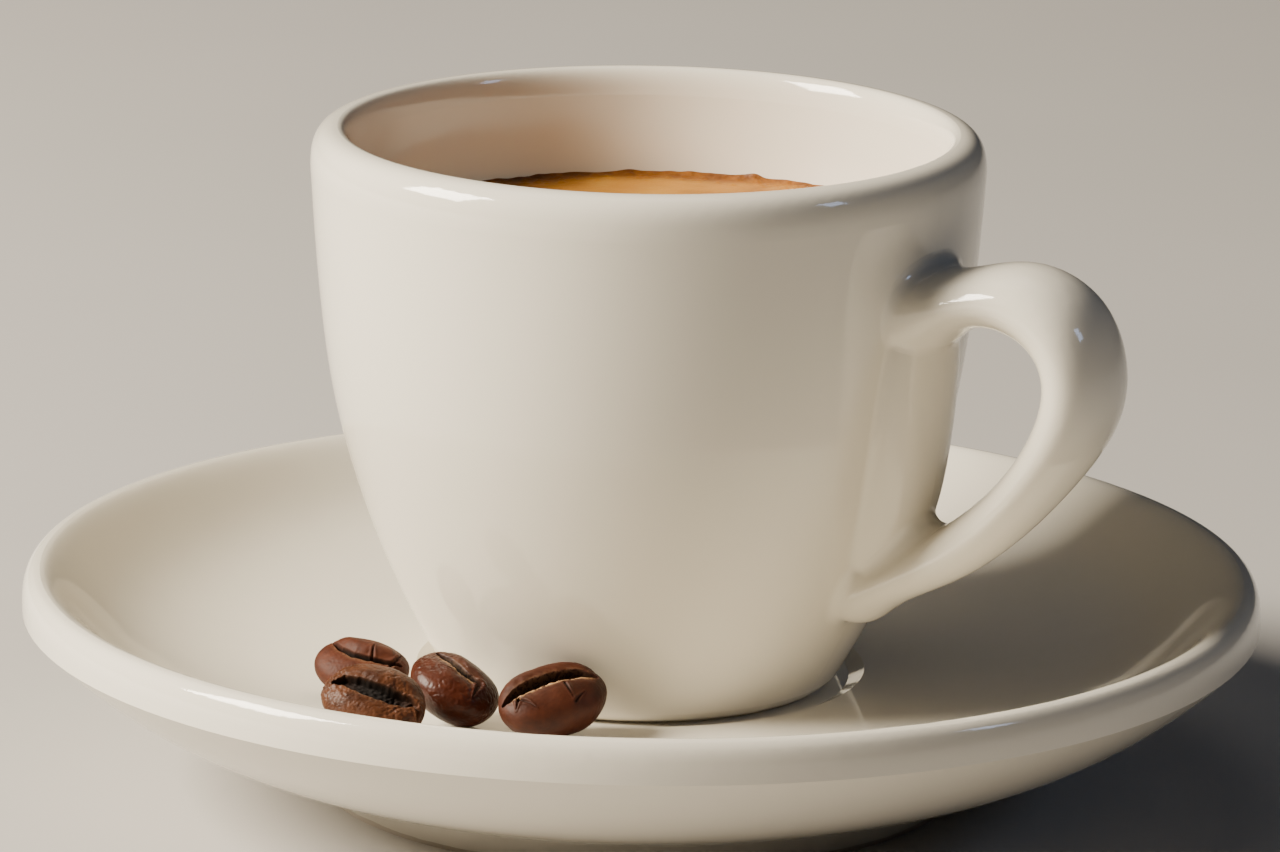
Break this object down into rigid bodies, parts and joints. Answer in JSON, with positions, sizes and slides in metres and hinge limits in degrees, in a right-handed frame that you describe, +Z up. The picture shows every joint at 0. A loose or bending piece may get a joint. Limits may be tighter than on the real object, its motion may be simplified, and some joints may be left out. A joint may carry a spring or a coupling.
{
  "type": "espresso shot in cup and saucer",
  "caption": "Espresso under golden foam in a thick white porcelain cup with a ring handle, on its saucer with roasted coffee beans.",
  "frame": {"origin": "centre of the saucer's foot ring on the table", "axes": "+Z up along the axis of the cup and saucer, +X towards the cup's handle"},
  "size_m": [0.12, 0.12, 0.0645],
  "materials": {
    "saucer_porcelain": "glossy white glaze",
    "cup_porcelain": "glossy white glaze",
    "espresso": "black coffee, modelled as a solid",
    "crema": "fine golden coffee foam, modelled as a solid",
    "roasted_bean": "dark roasted, slightly oily seed"
  },
  "bodies": {
    "root": {"saucer": "saucer_porcelain", "cup": "cup_porcelain", "espresso": "espresso", "crema": "crema", "bean_1": "roasted_bean", "bean_2": "roasted_bean", "bean_3": "roasted_bean", "bean_4": "roasted_bean"}
  },
  "joints": []
}
